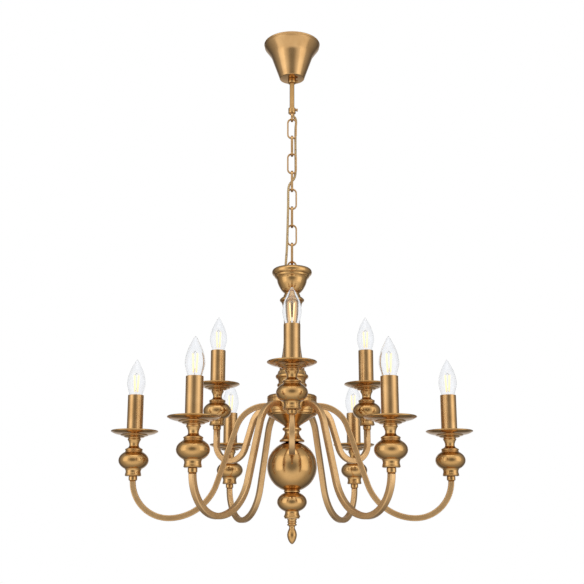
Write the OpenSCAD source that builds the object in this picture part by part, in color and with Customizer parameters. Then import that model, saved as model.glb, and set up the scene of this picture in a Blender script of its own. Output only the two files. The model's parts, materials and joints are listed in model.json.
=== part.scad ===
// Nine light chandelier in two tiers, hung from the ceiling on a rod and an oval link chain.
// Millimetres. The origin is on the ceiling, on the chandelier's own axis, and +Z is up.

/* [Layout] */
// Distance from the axis to the lower lights
lower_reach = 305; // [290:1:330]
// Distance from the axis to the upper lights
upper_reach = 177; // [170:1:190]
// Angle between an upper arm and the lower arm on each side of it
lower_arm_angle = 33.3; // [31:0.1:36]
// Height of the upper drip pans over the lower ones
tier_rise = 108; // [100:1:112]
// Depth of the lower drip pans under the ceiling
lower_pan_drop = 830; // [826:1:834]

/* [Arms] */
// Width of the square arm tube
tube_w = 11; // [10:0.5:12]
// Radius of the hollow through the arm tube
tube_bore_r = 3.8; // [3:0.1:4]
// Slope of the straight part of a lower arm, in degrees below level
lower_slope = 71; // [68:1:74]
// Slope of the straight part of an upper arm
upper_slope = 71; // [68:1:74]

/* [Candles] */
// Radius of a drip pan
pan_r = 45.5; // [43:0.5:47]
// Radius of a candle sleeve
sleeve_r = 15.4; // [15:0.1:16]
// Height of a candle sleeve over the rim of its pan
sleeve_h = 70; // [66:1:74]
// Radius of a bulb
bulb_r = 17.6; // [17:0.1:18]
// Height of the tip of a bulb over the rim of its pan
bulb_tip_h = 140; // [136:1:144]
// Radius of the ball under a drip pan
stem_ball_r = 28.5; // [27:0.5:29]

/* [Column] */
// Radius of the hub that holds the arms
hub_r = 49; // [48:0.5:50]
// Radius of the large ball
ball_r = 48; // [46:0.5:48]
// Radius of the rim of the top cup
cup_r = 40.4; // [38:0.2:42]

/* [Hanging] */
// Radius of the ceiling canopy
canopy_r = 59.5; // [58:0.5:62]
// Height of the ceiling canopy
canopy_h = 81; // [80:1:82]
// Radius of the hanging rod
rod_r = 5; // [4.8:0.1:5.2]
// Spacing of the chain links
link_pitch = 39; // [39:0.1:39.2]
// Outer width of a chain link
link_w = 20.6; // [20:0.1:21]
// Thickness of the link wire across the link
wire_t = 3.2; // [3:0.1:3.3]
// Width of the link wire through the link
wire_w = 5; // [4.6:0.1:5.2]

/* [Supply cable] */
// Radius of the supply cable
cable_r = 2.5; // [2:0.1:2.6]

/* [Hidden] */

$fn = 64;
brass = [0.71, 0.53, 0.29];
brushed_brass = [0.76, 0.60, 0.37];
steel = [0.60, 0.60, 0.60];
glass = [0.93, 0.93, 0.90, 0.4];
cream = [0.90, 0.87, 0.80];
gap = 0.3;
slide_gap = 0.08;
thread_gap = 0.05;
bore_r = rod_r + 0.2;
screw_r = 2;
rod_bore_r = 3.5;

// Lights: odd thirds of the circle hold an upper light, with a lower light on each side of it.
lower_turns = [for (third = [0:2], side = [-1, 1]) 120 * third + side * lower_arm_angle];
upper_turns = [for (third = [0:2]) 120 * third];
turns = concat(lower_turns, upper_turns);
lower_z = -lower_pan_drop;
upper_z = lower_z + tier_rise;

// Depths down the axis
canopy_wall = 1.2;
collar_h = 11;
rod_end_z = -156;
rod_collar_z = -148.5;
loop_r = 8.1;
loop_z = -169.2;
hang_z = loop_z - loop_r;
// How far a link stands off the wire it hangs on, with room for the flat wires to swing
link_drop = wire_t + 0.8;
link_len = link_pitch + link_drop;
link_bend_r = (link_w - wire_t) / 2;
chain_end_z = hang_z - 8 * link_pitch;
cup_loop_z = chain_end_z + link_drop - loop_r;
cup_z = -500;
cup_floor_z = -512;
column_z = -571.5;
collar_z = -709;
cover_z = -742;
hub_z = -760;
hub_h = 36;
hub_wall = 3;
arm_z = -779;
neck_z = -819;
ball_z = -896;
ring_z = -943.6;
small_ball_z = -963.4;
finial_z = -994.6;
column_bore_r = 11;

// Points of an arc of radius r about [x, z], from angle a to angle b
function arc(x, z, r, a, b, n = 8) = [for (i = [0:n]) let (t = a + (b - a) * i / n) [x + r * cos(t), z + r * sin(t)]];
// Points of an upright oval arc, rx wide and rz high
function oval(x, z, rx, rz, a, b, n = 10) =
    [for (i = [0:n]) let (t = a + (b - a) * i / n) [x + rx * cos(t), z + rz * sin(t)]];

module lathe(outline) {
    rotate_extrude() polygon(outline);
}
module tube(r, bore, z, h) {
    translate([0, 0, z]) difference() {
        cylinder(r = r, h = h);
        translate([0, 0, -1]) cylinder(r = bore, h = h + 2);
    }
}
module hex_nut(across, bore, h) {
    difference() {
        cylinder(r = across / 2 / cos(30), h = h, $fn = 6);
        translate([0, 0, -1]) cylinder(r = bore, h = h + 2);
    }
}
// Puts its children at light number i: on the axis of the lower or upper light
module at_light(i) {
    upper = i >= 6;
    rotate([0, 0, turns[i]])
        translate([0, upper ? -upper_reach : -lower_reach, upper ? upper_z : lower_z]) children();
}
module thumb_screw(z) {
    head_r = 3.2;
    head_x = 8.8;
    head_l = 3.4;
    translate([0, 0, z]) rotate([0, 90, 0]) union() {
        translate([0, 0, rod_r + gap]) cylinder(r = screw_r, h = head_x - rod_r);
        translate([0, 0, head_x]) cylinder(r = head_r, h = head_l);
    }
}

// ---- Ceiling fixing ----
module ceiling_bracket() {
    strap_l = 100;
    strap_w = 20;
    strap_t = 3;
    slot_l = 16;
    slot_r = 2.5;
    slot_x = 35;
    color(steel) difference() {
        translate([-strap_l / 2, -strap_w / 2, -strap_t]) cube([strap_l, strap_w, strap_t]);
        translate([0, 0, -strap_t - 1]) cylinder(r = rod_r + thread_gap, h = strap_t + 2);
        for (s = [-1, 1]) translate([s * slot_x, 0, -strap_t - 1]) {
            translate([-slot_l / 2 + slot_r, -slot_r, 0]) cube([slot_l - 2 * slot_r, 2 * slot_r, strap_t + 2]);
            for (e = [-1, 1]) translate([e * (slot_l / 2 - slot_r), 0, 0]) cylinder(r = slot_r, h = strap_t + 2);
        }
    }
}
module rod_lock_nut() {
    color(steel) translate([0, 0, -8]) hex_nut(14, rod_r + thread_gap, 5);
}
module hanging_rod() {
    color(brass) tube(rod_r, rod_bore_r, rod_end_z, -rod_end_z);
}
// Radius of the canopy's skirt, from 0 under the rim to 1 at the floor: a taper with a flared mouth
function skirt_r(t) = canopy_r - 8.5 - 24 * t + 7 * pow(max(0, 1 - t / 0.3), 1.1);
function skirt(inset) = [for (i = [0:14]) let (t = i / 14) [skirt_r(t) - inset, -9 - 68 * t]];
// Outline of the canopy's outside, from the ceiling down to its floor
canopy_outline = concat(
    arc(canopy_r - 2, -2, 2, 90, -60, 6),
    [[canopy_r - 3.5, -5.5]],
    arc(canopy_r - 3, -6, 1.5, 60, -40, 3), skirt(0), [[26.4, -79], [24.6, -canopy_h]]);
module canopy() {
    color(brass) difference() {
        lathe(concat([[0, 0]], canopy_outline, [[0, -canopy_h]]));
        lathe(concat([[0, 1], [canopy_r - 4.5, 1], [canopy_r - 4.5, -6]], skirt(canopy_wall), [[0, -77]]));
        translate([0, 0, -canopy_h - 1]) cylinder(r = rod_r + slide_gap, h = 6);
    }
}
module canopy_collar() {
    r = 8.2;
    top = -canopy_h;
    color(brass) difference() {
        lathe([[0, top], [r - 1, top], [r, top - 1], [r, top - collar_h + 1.5],
            [r - 1.5, top - collar_h], [0, top - collar_h]]);
        translate([0, 0, top - collar_h - 1]) cylinder(r = rod_r + slide_gap, h = collar_h + 2);
        translate([0, 0, top - collar_h / 2]) rotate([0, 90, 0]) cylinder(r = screw_r + thread_gap, h = 20);
    }
}
module canopy_thumb_screw() {
    color(brass) thumb_screw(-canopy_h - collar_h / 2);
}
module rod_collar() {
    r = 7.8;
    h = 12;
    top = rod_collar_z;
    color(brass) difference() {
        lathe([[0, top], [r - 1, top], [r, top - 1], [r, top - h + 1], [r - 1, top - h], [0, top - h]]);
        translate([0, 0, rod_end_z]) cylinder(r = rod_r, h = 20);
        translate([0, 0, top - h - 1]) cylinder(r = rod_bore_r, h = h + 2);
        translate([0, 0, top - 3.7]) rotate([0, 90, 0]) cylinder(r = screw_r + thread_gap, h = 20);
    }
}
module rod_thumb_screw() {
    color(brass) thumb_screw(rod_collar_z - 3.7);
}

// ---- Chain ----
// A ring of wire_t wire about the origin, in the XZ plane
module wire_ring(r) {
    rotate([90, 0, 0]) rotate_extrude() translate([r, 0]) wire_section();
}
module wire_section() {
    intersection() {
        circle(r = wire_w / 2);
        square([wire_t, wire_w], center = true);
    }
}
// An oval link in the XZ plane, with the centre of its lower wire at the origin
module oval_link() {
    straight = link_len - 2 * link_bend_r;
    translate([0, 0, link_bend_r]) {
        for (s = [-1, 1]) translate([s * link_bend_r, 0, 0]) linear_extrude(straight) wire_section();
        translate([0, 0, straight]) rotate([90, 0, 0])
            rotate_extrude(angle = 180) translate([link_bend_r, 0]) wire_section();
        rotate([90, 0, 0]) rotate([0, 0, 180])
            rotate_extrude(angle = 180) translate([link_bend_r, 0]) wire_section();
    }
}
module chain_link(i) {
    color(brass) translate([0, 0, hang_z - i * link_pitch]) rotate([0, 0, i % 2 == 1 ? 0 : 90]) oval_link();
}
module rod_loop() {
    neck_top = rod_collar_z - 12;
    color(brass) difference() {
        union() {
            translate([0, 0, loop_z]) rotate([0, 0, 90]) wire_ring(loop_r);
            translate([0, 0, loop_z + loop_r - 0.6]) cylinder(r = 5.2, h = neck_top - loop_z - loop_r + 0.6);
        }
        translate([0, 0, neck_top]) cylinder(r = 2 * loop_r, h = 10);
        translate([0, 0, loop_z + 4]) cylinder(r = rod_bore_r, h = 20);
        translate([0, 0, loop_z + 3]) cylinder(r1 = 7, r2 = rod_bore_r, h = 6);
    }
}
module cup_loop() {
    foot_z = cup_floor_z;
    color(brass) difference() {
        union() {
            translate([0, 0, cup_loop_z]) wire_ring(loop_r);
            translate([0, 0, foot_z]) cylinder(r = 7.5, h = cup_loop_z - loop_r - foot_z + 0.4);
        }
        translate([0, 0, foot_z - 1]) cylinder(r = rod_r + thread_gap, h = 7);
    }
}

// ---- Supply cable ----
// The cable hangs inside the rod, leaves it through the loop, runs beside the chain, crosses through
// the fourth link and goes down through the cup and the column to the splice in the hub.
cable_route = [
    [0, 0, -10], [0, 0, -60], [0, 0, -120], [0, 0, -152], [0.2, 0.1, -159], [3, 1, -164.8],
    [7.4, 4.8, -169.8], [8.6, 7.6, -178], [7.6, 7.8, -190], [7.2, 7.4, -215], [7.4, 7.6, -245],
    [7.6, 7.6, -270], [7.4, 7.2, -289], [5.2, 5, -302], [0, 0, -311.5], [-5.2, -5, -321],
    [-7.6, -7.2, -334], [-7.8, -7.6, -360], [-8.4, -7.8, -390], [-9.2, -8, -425], [-10.4, -8, -460],
    [-12.2, -7, -486], [-13, -5, -502], [-12, -2.5, -515], [-9.4, -0.6, -530], [-7.8, 0, -546],
    [-7.8, 0, -600], [-7.8, 0, -680], [-7.8, 0, -736], [-8.2, 0, -750], [-10.6, 0, -760], [-11, 0, -769]];
cable_steps = 2;
cable_sides = 8;
function spline(a, b, c, d, t) = 0.5 * (2 * b + (c - a) * t + (2 * a - 5 * b + 4 * c - d) * t * t
    + (3 * b - a - 3 * c + d) * t * t * t);
function route_at(p, i, t) = spline(p[max(i - 1, 0)], p[i], p[i + 1], p[min(i + 2, len(p) - 1)], t);
function unit(v) = v / norm(v);
// A smooth line through the points, and the tube of rings swept along it
function smooth(p, n) = concat([for (i = [0:len(p) - 2], k = [0:n - 1]) route_at(p, i, k / n)], [p[len(p) - 1]]);
function heading(line, i) = unit(line[min(i + 1, len(line) - 1)] - line[max(i - 1, 0)]);
function ring_points(line, i, r, sides) = let (
    along = heading(line, i),
    side = unit(cross(along, [0, 1, 0])),
    up = cross(side, along))
    [for (k = [0:sides - 1]) line[i] + r * (cos(360 * k / sides) * side + sin(360 * k / sides) * up)];
module swept_tube(line, r, sides) {
    rings = len(line);
    points = [for (i = [0:rings - 1]) each ring_points(line, i, r, sides)];
    walls = [for (i = [0:rings - 2], k = [0:sides - 1]) let (n = (k + 1) % sides)
        [i * sides + k, i * sides + n, (i + 1) * sides + n, (i + 1) * sides + k]];
    ends = [[for (k = [sides - 1:-1:0]) k], [for (k = [0:sides - 1]) (rings - 1) * sides + k]];
    polyhedron(points = points, faces = concat(walls, ends), convexity = 6);
}
module supply_cable() {
    color(cream) swept_tube(smooth(cable_route, cable_steps), cable_r, cable_sides);
}

// ---- Column ----
module top_cup() {
    color(brass) difference() {
        lathe(concat([[0, cup_floor_z], [17, cup_floor_z], [31, -504.5]],
            arc(cup_r - 7.8, cup_z - 7.8, 7.8, 115, -75, 12),
            [[33, -517.5], [31.5, -519], [30, -522], [29.4, -527]],
            oval(14.6, -527, 14.8, 23.4, 0, -72, 8),
            [[15.1, -551.2], [15.1, -553], [17.4, -557], [18.1, -560.6], [0, -560.6]]));
        translate([0, 0, -600]) cylinder(r = bore_r, h = 200);
        translate([-12.4, -2.4, -540]) cylinder(r = 4.4, h = 40);
        translate([0, 0, -561]) cylinder(r = column_bore_r, h = 561 - 518);
        lathe([[0, -518], [24, -518], [24, -529], [20, -540], [12, -546], [0, -546]]);
    }
}
// The turned post between the cup and the collar
module column() {
    top = -560.6;
    color(brass) difference() {
        lathe(concat([[0, top], [22, top]], arc(21.6, -565.6, 3, 60, -60, 4), [[22, -570.4], [20.8, column_z]],
            [for (i = [0:14]) let (t = i / 14) [15.6 + 5 * pow(1 - t, 3) + 9 * pow(t, 3), column_z - 133 * t]],
            [[25, -705], [25, collar_z], [0, collar_z]]));
        translate([0, 0, collar_z - 1]) cylinder(r = column_bore_r, h = top - collar_z + 2);
    }
}
module column_collar() {
    color(brass) difference() {
        lathe(concat([[0, collar_z], [26, collar_z], [28, -713]], arc(28.6, -720.8, 4, 70, -70, 6),
            [[28.5, -726], [26.9, -729.5], [26.6, -732.5]], arc(25.6, -738, 3.8, 70, -60, 6), [[0, cover_z]]));
        translate([0, 0, cover_z - 1]) cylinder(r = column_bore_r, h = collar_z - cover_z + 2);
        translate([0, 0, cover_z + 3]) cylinder(r = 22, h = collar_z - cover_z - 6);
    }
}
module hub_cover() {
    color(brass) difference() {
        lathe([[0, cover_z], [27.4, cover_z], [28, -751], [29.4, -754.6], [46.4, -758.6], [47.4, hub_z], [0, hub_z]]);
        lathe([[0, -750], [24, -750], [27, -756.6], [42, hub_z - 0.1], [0, hub_z - 0.1]]);
        translate([0, 0, hub_z - 1]) cylinder(r = column_bore_r, h = cover_z - hub_z + 2);
    }
}
module hub() {
    foot_z = hub_z - hub_h;
    color(brass) difference() {
        lathe([[0, hub_z], [hub_r - 1.4, hub_z], [hub_r, hub_z - 1.4],
            [hub_r, foot_z + 1.4], [hub_r - 1.4, foot_z], [0, foot_z]]);
        translate([0, 0, foot_z + hub_wall]) cylinder(r = hub_r - hub_wall, h = hub_h);
        translate([0, 0, foot_z - 1]) cylinder(r = bore_r, h = hub_h);
        for (a = turns) rotate([0, 0, a]) translate([0, -hub_r + hub_wall + 2, arm_z])
            rotate([90, 0, 0]) cylinder(r = nipple_r + 0.1, h = hub_wall + 6);
    }
}
module hub_underside() {
    top = hub_z - hub_h;
    color(brass) difference() {
        lathe([[0, top], [46.4, top], [46, -798.2], [14.4, neck_z], [0, neck_z]]);
        lathe([[0, top - 1.6], [42, top - 1.6], [12, neck_z + 2.4], [0, neck_z + 2.4]]);
        translate([0, 0, neck_z - 1]) cylinder(r = bore_r, h = top - neck_z + 2);
    }
}
module lower_neck() {
    color(brass) difference() {
        lathe(concat([[0, neck_z], [14.4, neck_z], [15.4, -821.4]], arc(15.6, -824.2, 3, 70, -70, 5),
            [[14.6, -828.4], [14, -830.6], [15.2, -833], [16.2, -835.4], [17.4, -839.4], [20.6, -843.4],
             [24, -846], [24.4, -849], [22.6, -849.6], [0, -849.6]]));
        translate([0, 0, ball_z]) sphere(r = ball_r + 0.05);
        translate([0, 0, -860]) cylinder(r = bore_r, h = 60);
    }
}
module large_ball() {
    color(brass) difference() {
        translate([0, 0, ball_z]) sphere(r = ball_r);
        translate([0, 0, ball_z]) sphere(r = ball_r - 1.5);
        translate([0, 0, ball_z - 60]) cylinder(r = bore_r, h = 120);
    }
}
module ball_ring() {
    color(brass) difference() {
        lathe(concat([[0, ring_z + 3], [13, ring_z + 3]], arc(13.6, ring_z, 2.4, 80, -80, 6), [[13, ring_z - 2.9],
            [0, ring_z - 2.9]]));
        translate([0, 0, ball_z]) sphere(r = ball_r + 0.05);
        translate([0, 0, ring_z - 5]) cylinder(r = bore_r, h = 20);
    }
}
module small_ball() {
    color(brass) difference() {
        lathe(concat([[0, ring_z - 2.9], [13.6, ring_z - 2.9]], oval(0, small_ball_z, 28.6, 20, 58, -62, 16),
            [[13.6, -981.6], [13.8, -984], [15.2, -988], [15.8, -990.6], [15, -993.4], [14, finial_z],
             [0, finial_z]]));
        lathe(oval(0, small_ball_z, 26.8, 17, 90, -90, 16));
        translate([0, 0, finial_z - 1]) cylinder(r = bore_r, h = 60);
    }
}
module finial() {
    color(brass) difference() {
        lathe(concat([[0, finial_z - gap], [9.4, finial_z - gap], [8.8, -996.8], [8, -998.6]],
            arc(7.6, -1001.2, 1.6, 70, -70, 5), arc(7.6, -1006, 1.8, 70, -70, 5), [[6, -1009.2], [5.5, -1012]],
            oval(0, -1025, 9.3, 17, 48, -90, 14)));
        translate([0, 0, -1004]) cylinder(r = rod_r + thread_gap, h = 20);
    }
}
module tie_rod() {
    color(steel) tube(rod_r, 3, -1002, 1002 - 507);
}
module cable_splice() {
    color(cream) difference() {
        translate([-11, 0, -776]) union() {
            cylinder(r = 4.8, h = 12);
            translate([0, 0, 12]) cylinder(r = 4.2, h = 2);
        }
        translate([-11, 0, -769.4]) cylinder(r = cable_r + gap, h = 30);
    }
}

// ---- Arms ----
nipple_r = 3.7;
nipple_l = 12;
module tube_section() {
    difference() {
        intersection() {
            circle(r = tube_w / 2 + 1.3);
            square(tube_w, center = true);
        }
        circle(r = tube_bore_r);
    }
}
// A raised seam round the tube, where two lengths of it are joined
module seam() {
    proud = 0.3;
    linear_extrude(3, center = true) difference() {
        intersection() {
            circle(r = tube_w / 2 + 1.3 + proud);
            square(tube_w + 2 * proud, center = true);
        }
        circle(r = tube_bore_r - proud);
    }
}
// A bend of the tube in the YZ plane, about the origin, that starts at angle a and goes on by turn
module bend(r, a, turn) {
    rotate([90, 0, -90]) rotate([0, 0, a]) rotate_extrude(angle = turn, $fn = 90)
        translate([r, 0]) tube_section();
}
// The arm leaves the hub level, turns down by the slope, runs straight, turns up through a wide bend
// and then through a tighter one, and ends upright under its light, with a straight drop if it has one.
module arm(reach, end_z, drop, slope, shoulder_r, inner_r, outer_r) {
    start = hub_r + 2.2;
    bottom_y = reach - outer_r;
    bend_z = end_z - drop;
    bottom_z = bend_z - outer_r;
    knee_y = bottom_y - inner_r * sin(slope);
    knee_z = bottom_z + inner_r * (1 - cos(slope));
    shoulder_y = start + shoulder_r * sin(slope);
    shoulder_z = arm_z - shoulder_r * (1 - cos(slope));
    run = norm([knee_y - shoulder_y, knee_z - shoulder_z]);
    lean = atan2(knee_y - shoulder_y, knee_z - shoulder_z);
    color(brass) {
        translate([0, -start, arm_z - shoulder_r]) bend(shoulder_r, 90, -slope);
        translate([0, -shoulder_y, shoulder_z]) rotate([lean, 0, 0]) linear_extrude(run) tube_section();
        translate([0, -bottom_y, bottom_z + inner_r]) bend(inner_r, 270, -slope);
        translate([0, -bottom_y, bend_z]) bend(outer_r, 270, 90);
        for (at = [[shoulder_y, shoulder_z], [knee_y, knee_z]])
            translate([0, -at.x, at.y]) rotate([lean, 0, 0]) seam();
        translate([0, -bottom_y, bottom_z]) rotate([90, 0, 0]) seam();
        if (drop > 0) translate([0, -reach, bend_z]) {
            linear_extrude(drop) tube_section();
            seam();
        }
        translate([0, -start, arm_z]) rotate([90, 0, 0]) difference() {
            union() {
                translate([0, 0, -nipple_l]) cylinder(r = nipple_r, h = nipple_l);
                translate([0, 0, -2]) intersection() {
                    cylinder(r = tube_w / 2 + 1.3, h = 2);
                    translate([-tube_w / 2, -tube_w / 2, 0]) cube([tube_w, tube_w, 2]);
                }
            }
            translate([0, 0, -20]) cylinder(r = 2.4, h = 40);
        }
    }
}
module arm_number(i) {
    rotate([0, 0, turns[i]])
        if (i < 6) arm(lower_reach, lower_z - 94, 0, lower_slope, 60, 95, 70);
        else arm(upper_reach, upper_z - 94, 29, upper_slope, 42, 36, 35);
}
module arm_nuts() {
    color(steel) for (a = turns) rotate([0, 0, a]) translate([0, -hub_r + hub_wall + 4.2, arm_z])
        rotate([90, 0, 0]) hex_nut(11, nipple_r + thread_gap, 3.2);
}

// ---- Lights: heights are from the rim of the drip pan ----
stem_wall = 1.6;
module arm_end() {
    difference() {
        lathe([[0, -85.6], [7.4, -85.6], [7.8, -86.4], [7.8, -93.2], [7, -94.4], [0, -94.4]]);
        translate([0, 0, -96]) linear_extrude(6) intersection() {
            circle(r = tube_w / 2 + 1.35);
            square(tube_w + 0.1, center = true);
        }
        translate([0, 0, -92]) cylinder(r = nipple_r + 0.1, h = 8);
    }
}
module stem() {
    difference() {
        lathe(concat(
            [[0, -12.4], [12.4, -12.4], [11.6, -13.4]], arc(10.6, -15.8, 2, 60, -60, 5),
            [[10.9, -19.6], [9.6, -22.6], [8.9, -26], [9.6, -29], [12, -31.6], [15, -33]],
            arc(15, -35.4, 1.9, 70, -70, 4),
            [[16, -38]], oval(0, -55.6, stem_ball_r, 19.6, 56, -56, 16),
            [[15.4, -73.4], [14.6, -76.4], [14.8, -80], [15.4, -83], [15.2, -85], [14.4, -85.6], [0, -85.6]]));
        translate([0, 0, -90]) cylinder(r = nipple_r + 0.1, h = 90);
        lathe(oval(0, -55.6, stem_ball_r - stem_wall, 16.6, 90, -90, 16));
    }
}
module drip_pan() {
    difference() {
        lathe(concat([[0, -6], [24, -6], [30, -4.6], [40, -1]], arc(pan_r - 1.4, 0, 1.4, 120, -70, 8),
            [[40.6, -4.4], [33, -6.4], [27, -7.4], [26.2, -8.8], [21, -9.6], [19.4, -11.2], [16.6, -12.4],
             [0, -12.4]]));
        translate([0, 0, -20]) cylinder(r = nipple_r + 0.1, h = 30);
    }
}
module candle_sleeve() {
    tube(sleeve_r, sleeve_r - 1, -6, sleeve_h + 6);
}
module lamp_holder() {
    difference() {
        union() {
            translate([0, 0, -6]) cylinder(r = 9, h = 30);
            translate([0, 0, 24]) cylinder(r = 12.4, h = 28);
            translate([0, 0, -94]) cylinder(r = nipple_r, h = 89);
        }
        translate([0, 0, 28]) cylinder(r = 7.2, h = 30);
        translate([0, 0, -95]) cylinder(r = 2.4, h = 130);
    }
}
// Half outline of the glass, wall thinner than the real outline by inset
function glass_outline(inset) = concat(
    [[8.4 - inset, 56]],
    [for (i = [0:6]) let (t = i / 6) [8.4 + (bulb_r - 8.4) * (1 - cos(180 * t)) / 2 - inset, 58 + 36 * t]],
    [for (i = [1:9]) let (t = i / 10) [bulb_r * pow(cos(90 * t), 0.8) - inset * (1 - t * t), 94 + (bulb_tip_h - 95) * t]],
    [[0, bulb_tip_h - inset]]);
module bulb() {
    glass_wall = 0.8;
    difference() {
        lathe(concat([[0, 30], [3.5, 30], [4.2, 32], [6.8, 34], [6.8, 52], [8.4, 55]], glass_outline(0)));
        lathe(concat([[0, 56.6]], glass_outline(glass_wall)));
    }
}
module lower_lights() {
    for (i = [0:5]) at_light(i) children();
}
module upper_lights() {
    for (i = [6:8]) at_light(i) children();
}
module bulb_number(i) {
    color(glass) at_light(i) bulb();
}

ceiling_bracket();
rod_lock_nut();
hanging_rod();
canopy();
canopy_collar();
canopy_thumb_screw();
rod_collar();
rod_thumb_screw();
rod_loop();
supply_cable();
for (i = [1:8]) chain_link(i);
cup_loop();
top_cup();
column();
column_collar();
tie_rod();
cable_splice();
hub_cover();
hub();
hub_underside();
lower_neck();
large_ball();
ball_ring();
small_ball();
finial();
arm_nuts();
for (i = [1:9]) arm_number(i - 1);
for (i = [1:9]) bulb_number(i - 1);
color(brass) lower_lights() arm_end();  // lower_arm_ends
color(brass) upper_lights() arm_end();  // upper_arm_ends
color(brass) lower_lights() stem();  // lower_stems
color(brass) upper_lights() stem();  // upper_stems
color(brass) lower_lights() drip_pan();  // lower_drip_pans
color(brass) upper_lights() drip_pan();  // upper_drip_pans
color(brushed_brass) lower_lights() candle_sleeve();  // lower_candle_sleeves
color(brushed_brass) upper_lights() candle_sleeve();  // upper_candle_sleeves
color(cream) for (i = [0:8]) at_light(i) lamp_holder();  // lamp_holders
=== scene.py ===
# The looks of a nine light, two tier brass chandelier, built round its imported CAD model. Metres.
import json
import math

import bmesh
import bpy
from mathutils import Matrix, Vector


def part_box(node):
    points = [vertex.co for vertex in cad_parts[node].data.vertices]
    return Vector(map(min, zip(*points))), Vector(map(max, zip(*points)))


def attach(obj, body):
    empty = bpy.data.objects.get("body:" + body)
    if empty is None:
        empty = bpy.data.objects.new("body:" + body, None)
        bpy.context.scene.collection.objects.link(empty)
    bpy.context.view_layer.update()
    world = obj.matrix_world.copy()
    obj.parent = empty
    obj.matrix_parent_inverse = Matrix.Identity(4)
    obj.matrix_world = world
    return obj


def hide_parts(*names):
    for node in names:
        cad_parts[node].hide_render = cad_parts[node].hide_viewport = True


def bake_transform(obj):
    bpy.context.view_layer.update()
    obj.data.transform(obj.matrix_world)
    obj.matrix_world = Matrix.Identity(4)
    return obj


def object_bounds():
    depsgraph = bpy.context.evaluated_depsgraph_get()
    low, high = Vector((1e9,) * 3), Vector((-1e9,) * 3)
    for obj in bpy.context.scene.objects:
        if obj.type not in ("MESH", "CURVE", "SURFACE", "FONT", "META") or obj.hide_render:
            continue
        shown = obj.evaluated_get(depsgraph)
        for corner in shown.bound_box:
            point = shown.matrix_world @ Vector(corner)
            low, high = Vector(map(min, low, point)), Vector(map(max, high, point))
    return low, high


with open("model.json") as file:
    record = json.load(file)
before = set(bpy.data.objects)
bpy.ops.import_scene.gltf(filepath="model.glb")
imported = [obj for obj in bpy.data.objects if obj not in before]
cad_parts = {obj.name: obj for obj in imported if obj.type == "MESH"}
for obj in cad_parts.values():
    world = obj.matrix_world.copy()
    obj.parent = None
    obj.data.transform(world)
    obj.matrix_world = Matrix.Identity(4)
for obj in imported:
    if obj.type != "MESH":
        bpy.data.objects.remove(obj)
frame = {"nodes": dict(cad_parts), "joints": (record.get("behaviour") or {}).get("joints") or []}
cad_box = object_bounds()

MM = 0.001
LIGHTS = 9
LOWER_LIGHTS = 6
joints = {j["name"]: j for j in frame["joints"]}


# ---- Camera ----
def add_camera():
    """Eye level is just over the lowest tip, and the view tilts up to take in the ceiling canopy."""
    stand_off = 1.966
    eye_height = cad_box[0][2] + 0.011
    tilt_up = 13.8
    data = bpy.data.cameras.new("camera")
    data.sensor_width = 36
    data.lens = 61.8
    camera = bpy.data.objects.new("camera", data)
    camera.location = (0, -stand_off, eye_height)
    camera.rotation_euler = (math.radians(90 + tilt_up), 0, 0)
    bpy.context.scene.collection.objects.link(camera)
    bpy.context.scene.camera = camera


add_camera()


# ---- Materials ----
def new_material(name):
    material = bpy.data.materials.new(name)
    material.use_nodes = True
    return material, material.node_tree.nodes, material.node_tree.links


def object_noise(nodes, links, scale, detail=4.0, stretch=(1, 1, 1), roughness=0.55):
    """Noise over the object, drawn out along the axes whose stretch is small."""
    place = nodes.new("ShaderNodeTexCoord")
    mapping = nodes.new("ShaderNodeMapping")
    mapping.inputs["Scale"].default_value = stretch
    noise = nodes.new("ShaderNodeTexNoise")
    noise.inputs["Scale"].default_value = scale
    noise.inputs["Detail"].default_value = detail
    noise.inputs["Roughness"].default_value = roughness
    links.new(place.outputs["Object"], mapping.inputs["Vector"])
    links.new(mapping.outputs["Vector"], noise.inputs["Vector"])
    return noise.outputs["Fac"]


def ramp(nodes, links, value, stops):
    """Colours (or greys) spread over a value; stops are (position, colour)."""
    node = nodes.new("ShaderNodeValToRGB")
    points = node.color_ramp.elements
    while len(points) < len(stops):
        points.new(0.5)
    for point, (position, colour) in zip(points, stops):
        point.position = position
        point.color = (*colour, 1) if len(colour) == 3 else colour
    links.new(value, node.inputs["Fac"])
    return node.outputs["Color"]


def grey(value):
    return (value, value, value)


def bump(nodes, links, height, distance, strength, below=None):
    node = nodes.new("ShaderNodeBump")
    node.inputs["Distance"].default_value = distance
    node.inputs["Strength"].default_value = strength
    links.new(height, node.inputs["Height"])
    if below is not None:
        links.new(below, node.inputs["Normal"])
    return node.outputs["Normal"]


def brass(name, dark, light, smooth, rough, turned_marks=0.0, brush=0.0):
    """Lacquered satin brass: cloudy tone, uneven polish, marks round turned work, upright brush lines."""
    material, nodes, links = new_material(name)
    shader = nodes["Principled BSDF"]
    shader.inputs["Metallic"].default_value = 1.0
    shader.inputs["Coat Weight"].default_value = 0.12
    shader.inputs["Coat Roughness"].default_value = 0.18
    tone = object_noise(nodes, links, 26, 5)
    links.new(ramp(nodes, links, tone, [(0.32, dark), (0.68, light)]), shader.inputs["Base Color"])
    polish = object_noise(nodes, links, 90, 3)
    links.new(ramp(nodes, links, polish, [(0.3, grey(smooth)), (0.7, grey(rough))]),
              shader.inputs["Roughness"])
    grain = object_noise(nodes, links, 900, 2)
    normal = bump(nodes, links, grain, 0.00001, 0.25)
    if turned_marks:
        marks = object_noise(nodes, links, 420, 3, (0.02, 0.02, 1))
        normal = bump(nodes, links, marks, 0.00003, turned_marks, normal)
    if brush:
        lines = object_noise(nodes, links, 500, 4, (1, 1, 0.02), 0.7)
        normal = bump(nodes, links, lines, 0.00003, brush, normal)
    links.new(normal, shader.inputs["Normal"])
    return material


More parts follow.
